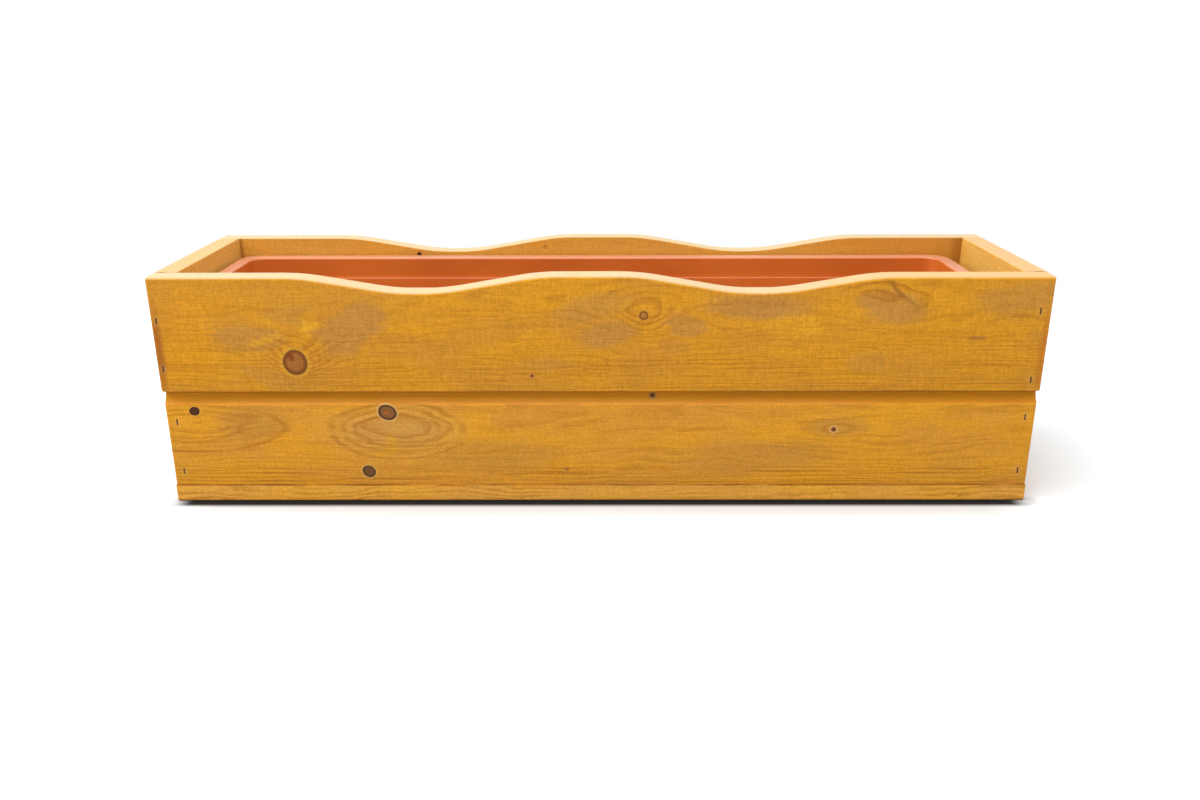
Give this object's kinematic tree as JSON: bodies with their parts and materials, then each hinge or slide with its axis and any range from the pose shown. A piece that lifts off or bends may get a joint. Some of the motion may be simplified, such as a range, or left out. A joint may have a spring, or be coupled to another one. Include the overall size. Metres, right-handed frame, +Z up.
{
  "type": "window box planter",
  "caption": "Rectangular wooden window box of shiplap boards with waved long top edges, holding a loose plastic trough liner that lifts out.",
  "frame": {"origin": "on the ground under the middle of the box", "axes": "+X to the right along the box, -Y out of the front, +Z up"},
  "size_m": [0.87, 0.228, 0.235],
  "materials": {
    "front_board_wood": "satin honey stain",
    "rear_board_wood": "satin honey stain",
    "end_board_wood": "satin honey stain",
    "slat_wood": "satin honey stain",
    "bearer_wood": "sawn",
    "liner_plastic": "soft sheen terracotta",
    "staple_steel": "dull, tarnished"
  },
  "bodies": {
    "casing": {"front_upper_board": "front_board_wood", "front_lower_board": "front_board_wood", "rear_upper_board": "rear_board_wood", "rear_lower_board": "rear_board_wood", "left_upper_board": "end_board_wood", "left_lower_board": "end_board_wood", "right_upper_board": "end_board_wood", "right_lower_board": "end_board_wood", "base_front_slat": "slat_wood", "base_middle_slat": "slat_wood", "base_rear_slat": "slat_wood", "left_bearer": "bearer_wood", "middle_bearer": "bearer_wood", "right_bearer": "bearer_wood", "front_staples": "staple_steel", "rear_staples": "staple_steel", "base_staples": "staple_steel", "bearer_staples": "staple_steel"},
    "liner": {"liner": "liner_plastic"}
  },
  "joints": [
    {"name": "liner_lift", "type": "slide", "parent": "casing", "child": "liner", "axis": [0, 0, 1], "range_m": [0, 0.2]}
  ]
}
